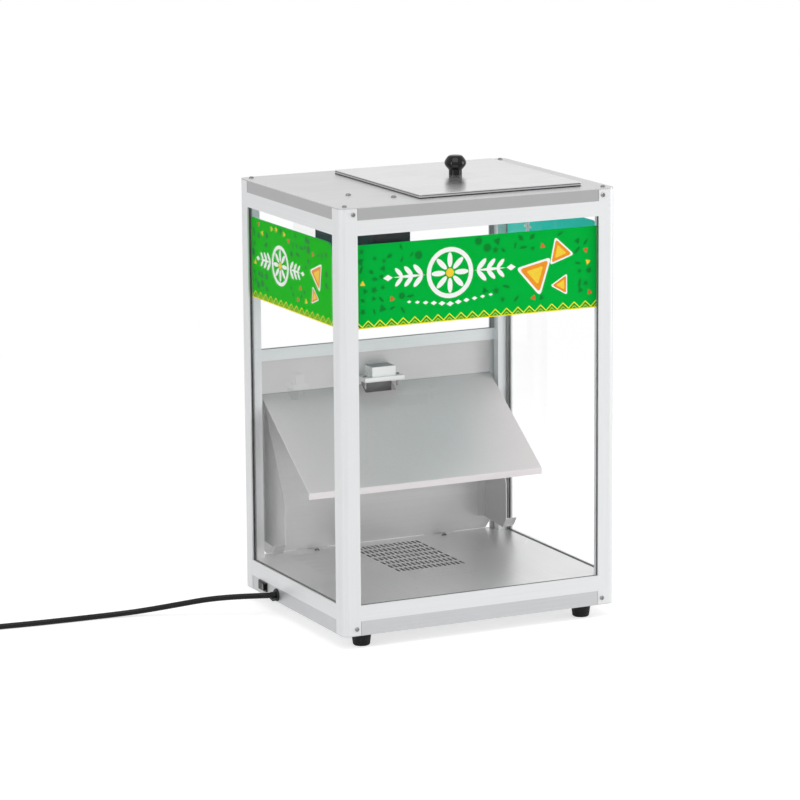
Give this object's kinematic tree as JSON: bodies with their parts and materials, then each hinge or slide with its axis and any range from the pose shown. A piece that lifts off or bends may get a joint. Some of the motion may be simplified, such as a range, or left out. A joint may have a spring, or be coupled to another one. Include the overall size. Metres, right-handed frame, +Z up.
{
  "type": "chip warmer",
  "caption": "Counter-top chip warmer: extruded aluminium frame with glass sides, a loose lid on top, a tilting flap at the back, a slotted floor over a fan heater, and a mains lead.",
  "frame": {"origin": "centre of the cabinet's footprint, on the surface that its rubber feet stand on", "axes": "+Z up, -Y out of the glazed front, +Y out of the flap at the back, +X to the right seen from the front"},
  "size_m": [0.9885, 0.3602, 0.676],
  "materials": {
    "frame_aluminium": "satin",
    "painted_sheet": "satin",
    "folded_sheet": "satin",
    "glass": "gloss",
    "diffuser_glass": "satin",
    "black_rubber": "matte",
    "gasket_rubber": "matte",
    "printed_card": "matte",
    "black_plastic": "matte",
    "gloss_black_plastic": "gloss",
    "cord_sheath": "satin",
    "black_paint": "satin",
    "zinc": "satin",
    "catch_aluminium": "satin",
    "magnet": "matte",
    "brass_pins": "satin",
    "heater_metal": "satin",
    "terminal_plastic": "matte"
  },
  "bodies": {
    "cabinet": {"banner_front": "printed_card", "banner_left": "printed_card", "banner_right": "printed_card", "base_pan": "painted_sheet", "cable_gland": "black_plastic", "catch_housing": "catch_aluminium", "catch_magnet": "magnet", "catch_pole_plates": "zinc", "catch_screws": "zinc", "cord": "cord_sheath", "cord_coil": "cord_sheath", "deflector": "folded_sheet", "fan_frame": "black_plastic", "feet": "black_rubber", "floor_plate": "folded_sheet", "foot_screws": "zinc", "heater_duct": "heater_metal", "heater_elements": "heater_metal", "hinge_leaves_fixed": "zinc", "hinge_pins": "zinc", "lamp_clips": "zinc", "lamp_diffuser": "diffuser_glass", "lamp_housing": "black_paint", "lamp_tube": "diffuser_glass", "pane_back": "glass", "pane_front": "glass", "pane_gaskets": "gasket_rubber", "pane_left": "glass", "pane_right": "glass", "panel_screws": "zinc", "plug_body": "cord_sheath", "plug_pins": "brass_pins", "post_back_left": "frame_aluminium", "post_back_right": "frame_aluminium", "post_front_left": "frame_aluminium", "post_front_right": "frame_aluminium", "post_screws": "zinc", "rail_bottom_back": "frame_aluminium", "rail_bottom_front": "frame_aluminium", "rail_bottom_left": "frame_aluminium", "rail_bottom_right": "frame_aluminium", "rail_middle_back": "frame_aluminium", "rail_top_back": "frame_aluminium", "rail_top_front": "frame_aluminium", "rail_top_left": "frame_aluminium", "rail_top_right": "frame_aluminium", "skirt_screws": "zinc", "switch_body": "gloss_black_plastic", "terminal_block": "terminal_plastic", "thermostat": "terminal_plastic", "top_cover": "painted_sheet"},
    "lid": {"lid": "painted_sheet", "lid_knob": "gloss_black_plastic", "lid_knob_screw": "zinc"},
    "flap": {"flap_panel": "folded_sheet", "flap_wing_left": "folded_sheet", "flap_wing_right": "folded_sheet", "hinge_leaves_moving": "zinc"},
    "rocker": {"switch_rocker": "gloss_black_plastic"},
    "rotor": {"fan_rotor": "black_plastic"}
  },
  "joints": [
    {"name": "lid_lift", "type": "slide", "parent": "cabinet", "child": "lid", "axis": [0, 0, 1], "range_m": [0, 0.12]},
    {"name": "flap_tilt", "type": "hinge", "parent": "cabinet", "child": "flap", "pos_m": [0, 0.1794, 0.062], "axis": [-1, 0, 0], "range_deg": [0, 48]},
    {"name": "switch_rock", "type": "hinge", "parent": "cabinet", "child": "rocker", "pos_m": [-0.217, 0.109, 0.0345], "axis": [0, 0, 1], "range_deg": [0, 14]},
    {"name": "fan_spin", "type": "hinge", "parent": "cabinet", "child": "rotor", "pos_m": [0, 0.0675, 0.035], "axis": [0, 0, 1], "continuous": true}
  ]
}
